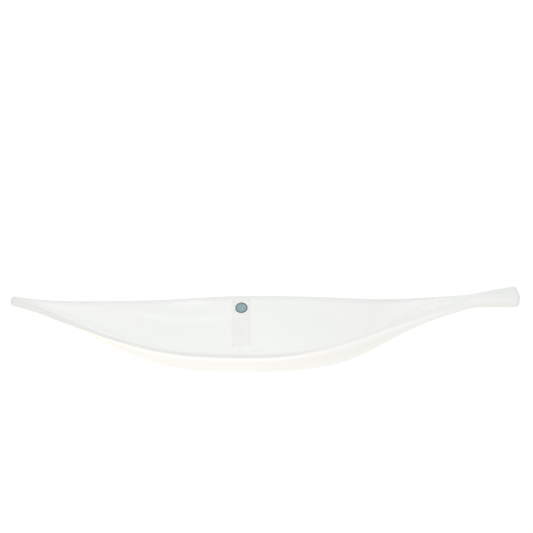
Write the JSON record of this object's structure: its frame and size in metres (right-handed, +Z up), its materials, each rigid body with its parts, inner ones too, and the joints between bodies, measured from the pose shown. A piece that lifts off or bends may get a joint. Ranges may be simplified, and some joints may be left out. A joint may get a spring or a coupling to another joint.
{
  "type": "decorative bowl",
  "caption": "Leaf-shaped glazed ceramic bowl with a blunt tip, an open trough, a flared stem and a flat foot ring, for display or for serving.",
  "frame": {"origin": "middle of the bounding box's underside, on the plane that the foot ring stands on", "axes": "+X from the tip towards the stem, +Y towards the wall that carries the label, +Z up"},
  "size_m": [0.5, 0.167, 0.0756],
  "materials": {
    "white_glaze": "glossy white glaze over stoneware",
    "label_film": "clear self-adhesive film",
    "seal_paper": "coated blue-grey paper"
  },
  "bodies": {
    "root": {"bowl_body": "white_glaze", "label_strip": "label_film", "label_seal": "seal_paper"}
  },
  "joints": []
}
